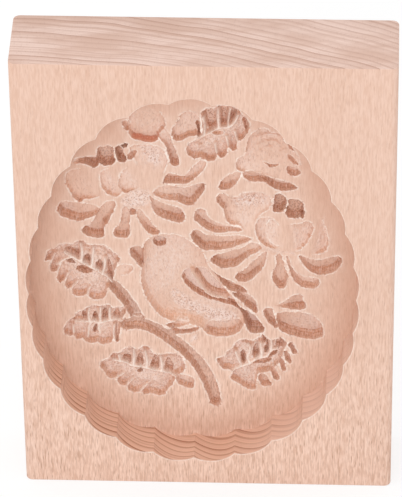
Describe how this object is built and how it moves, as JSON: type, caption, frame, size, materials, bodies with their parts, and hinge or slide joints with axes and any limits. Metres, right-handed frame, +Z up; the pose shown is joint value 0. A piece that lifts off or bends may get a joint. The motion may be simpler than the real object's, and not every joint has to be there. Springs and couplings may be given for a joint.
{
  "type": "wooden cookie mould",
  "caption": "Wooden block mould with a scalloped oval recess and a sunk carving of a bird, flowers and leaves, for pressing or shaping cookie dough.",
  "frame": {"origin": "middle of the lower end of the block", "axes": "+Z up along the block's height and the grain, +X to the right when looking at the carving, carved face towards -Y"},
  "size_m": [0.1, 0.022, 0.14],
  "materials": {
    "beech": "bare sanded beech, unvarnished, with routed end grain in the cuts"
  },
  "bodies": {
    "root": {"carved_block": "beech"}
  },
  "joints": []
}
